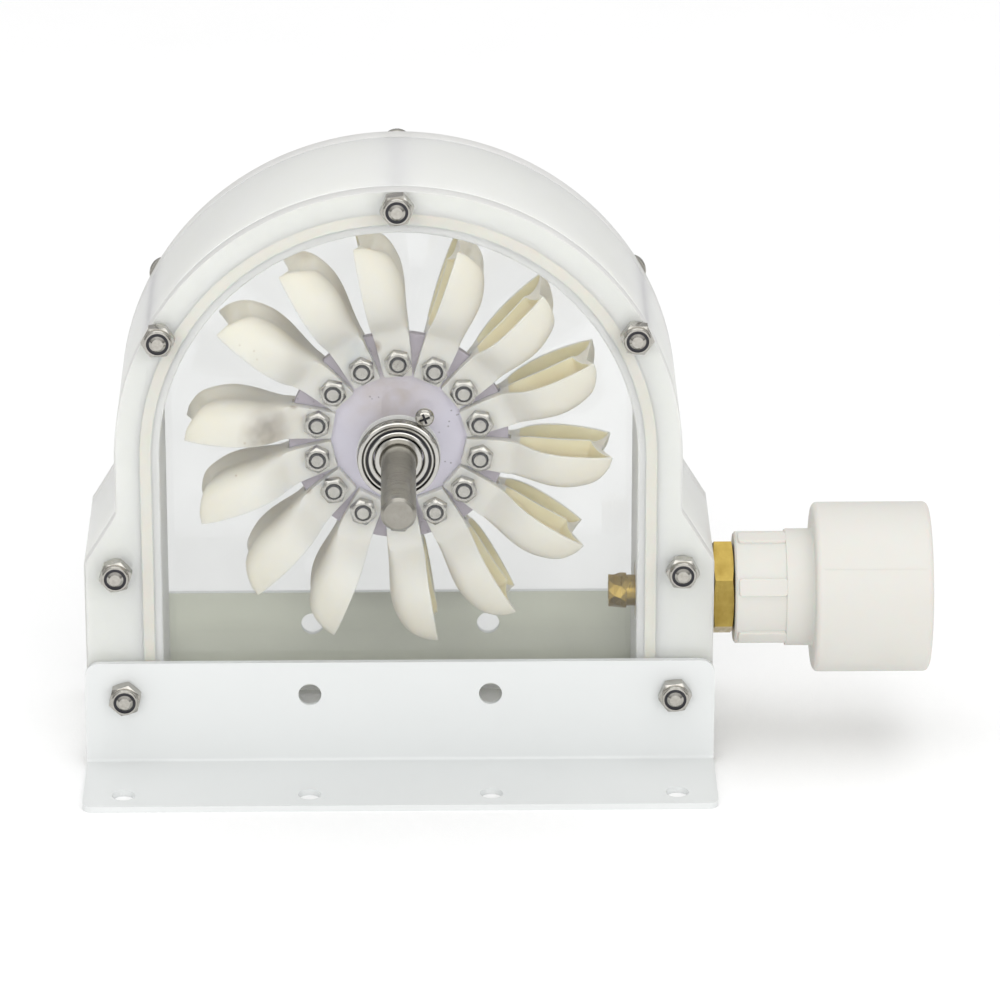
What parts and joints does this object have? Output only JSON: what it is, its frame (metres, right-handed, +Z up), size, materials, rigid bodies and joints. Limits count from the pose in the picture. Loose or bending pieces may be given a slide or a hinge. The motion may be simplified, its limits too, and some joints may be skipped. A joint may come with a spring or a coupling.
{
  "type": "model pelton wheel",
  "caption": "Small demonstration Pelton turbine: twin-cup bucket wheel on a shaft in a clear-fronted arched housing on two angle feet, with a side nozzle and pipe socket.",
  "frame": {"origin": "on the floor, under the middle of the whole part's box", "axes": "+X towards the pipe socket, -Y along the shaft's free end, +Z up"},
  "size_m": [0.2944, 0.1566, 0.211],
  "materials": {
    "white_plastic": "milky white sheet plastic, satin",
    "clear_acrylic": "clear acrylic, polished faces and grey sawn edges",
    "seal_rubber": "beige round sealing cord",
    "white_paint": "white coat outside, grey-green coat on the side that faces the housing",
    "bearing_steel": "polished bearing steel",
    "stainless": "bright stainless steel",
    "shaft_steel": "ground bright shaft",
    "brass": "machined brass",
    "pipe_plastic": "off-white moulded pipe plastic",
    "disc_plastic": "pale lilac grey disc",
    "bucket_plastic": "ivory moulded plastic, slightly translucent"
  },
  "bodies": {
    "housing": {"housing_body": "white_plastic", "front_window": "clear_acrylic", "rear_window": "clear_acrylic", "front_seal": "seal_rubber", "rear_seal": "seal_rubber", "front_bracket": "white_paint", "rear_bracket": "white_paint", "front_bearing": "bearing_steel", "rear_bearing": "bearing_steel", "bearing_screw": "stainless", "nozzle": "brass", "pipe_adapter": "pipe_plastic", "bolt_top": "stainless", "bolt_upper_left": "stainless", "bolt_upper_right": "stainless", "bolt_mid_left": "stainless", "bolt_mid_right": "stainless", "bolt_lower_left": "stainless", "bolt_lower_right": "stainless"},
    "wheel": {"shaft": "shaft_steel", "hub_disc": "disc_plastic", "hub_flange": "stainless", "front_inner_ring": "bearing_steel", "rear_inner_ring": "bearing_steel", "bucket_01": "bucket_plastic", "bucket_02": "bucket_plastic", "bucket_03": "bucket_plastic", "bucket_04": "bucket_plastic", "bucket_05": "bucket_plastic", "bucket_06": "bucket_plastic", "bucket_07": "bucket_plastic", "bucket_08": "bucket_plastic", "bucket_09": "bucket_plastic", "bucket_10": "bucket_plastic", "bucket_11": "bucket_plastic", "bucket_12": "bucket_plastic", "bucket_13": "bucket_plastic", "bucket_14": "bucket_plastic"}
  },
  "joints": [
    {"name": "wheel_spin", "type": "hinge", "parent": "housing", "child": "wheel", "pos_m": [-0.0378, -0.0015, 0.1145], "axis": [0, 1, 0], "continuous": true}
  ]
}
